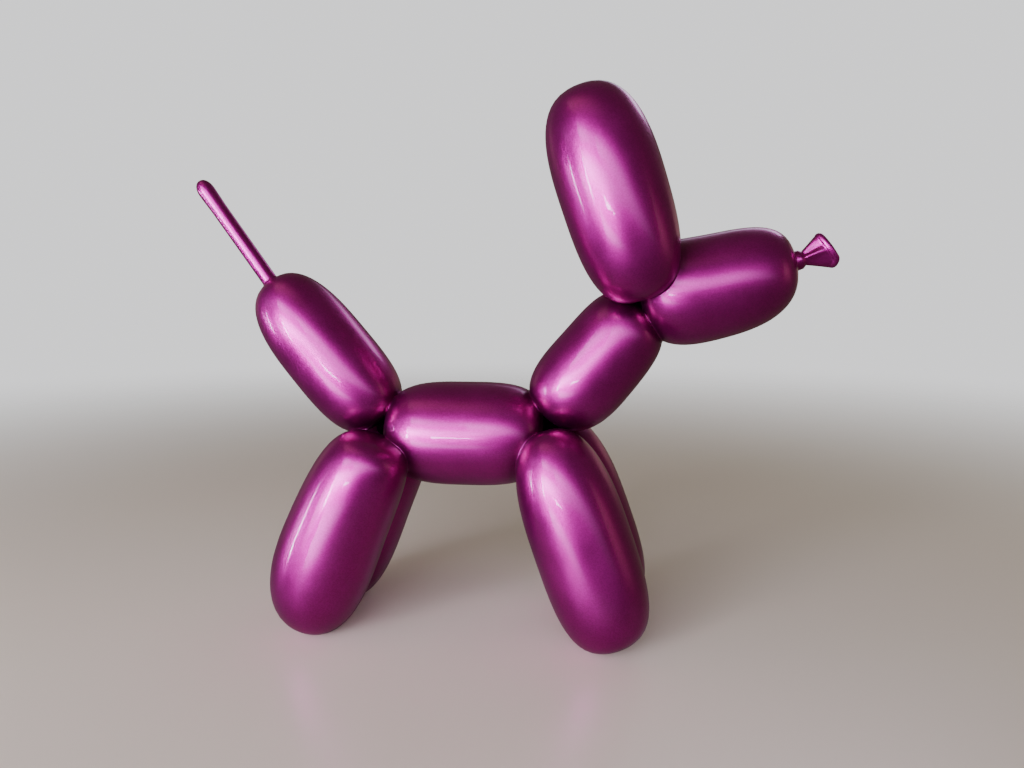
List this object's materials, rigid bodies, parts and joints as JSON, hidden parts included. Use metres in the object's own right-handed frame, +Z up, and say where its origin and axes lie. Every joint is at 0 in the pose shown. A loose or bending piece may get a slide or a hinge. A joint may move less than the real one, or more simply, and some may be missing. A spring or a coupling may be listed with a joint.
{
  "type": "balloon dog sculpture",
  "caption": "Shelf ornament of a dog twisted from one long balloon, cast in one piece with a glossy metallic lacquer, standing on its own feet.",
  "frame": {"origin": "centre of the bounding box on the surface that the feet stand on", "axes": "+X the way that the nose points, +Y the dog's left side, +Z up"},
  "size_m": [0.3048, 0.0924, 0.2532],
  "materials": {
    "magenta_lacquer": "metallic magenta lacquer with fine flake under a glossy clear coat, over cast resin"
  },
  "bodies": {
    "root": {"balloon_dog": "magenta_lacquer"}
  },
  "joints": []
}
